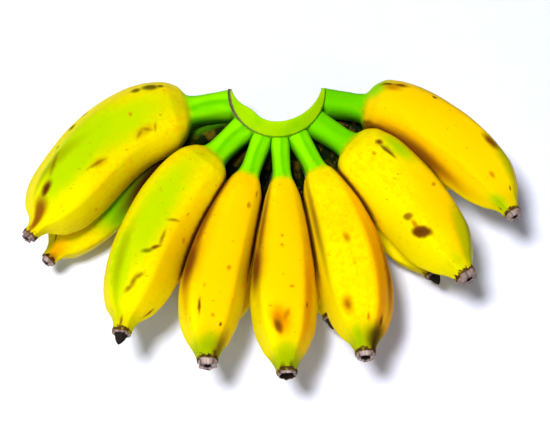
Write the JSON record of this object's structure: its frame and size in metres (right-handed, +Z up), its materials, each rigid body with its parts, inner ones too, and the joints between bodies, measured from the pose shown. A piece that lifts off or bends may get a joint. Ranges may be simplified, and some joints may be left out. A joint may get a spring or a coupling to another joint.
{
  "type": "hand of bananas",
  "caption": "Hand of short ripe bananas, stacked in rows on a curved green crown, lying with its blossom ends turned up.",
  "frame": {"origin": "on the table, under the centre of the hand's box", "axes": "+X to the right across the hand, +Y from the fruit tips towards the crown, +Z up"},
  "size_m": [0.2442, 0.1575, 0.0622],
  "materials": {
    "banana_peel": "smooth waxy peel, ripe yellow with green at the stalk, brown spots and a dry blossom end",
    "crown_skin": "smooth lime green skin with a thin brown bract line"
  },
  "bodies": {
    "root": {"crown": "crown_skin", "finger_top_1": "banana_peel", "finger_top_2": "banana_peel", "finger_top_3": "banana_peel", "finger_top_4": "banana_peel", "finger_top_5": "banana_peel", "finger_top_6": "banana_peel", "finger_top_7": "banana_peel", "finger_low_1": "banana_peel", "finger_low_2": "banana_peel", "finger_low_3": "banana_peel", "finger_low_4": "banana_peel", "finger_low_5": "banana_peel", "finger_low_6": "banana_peel"}
  },
  "joints": []
}
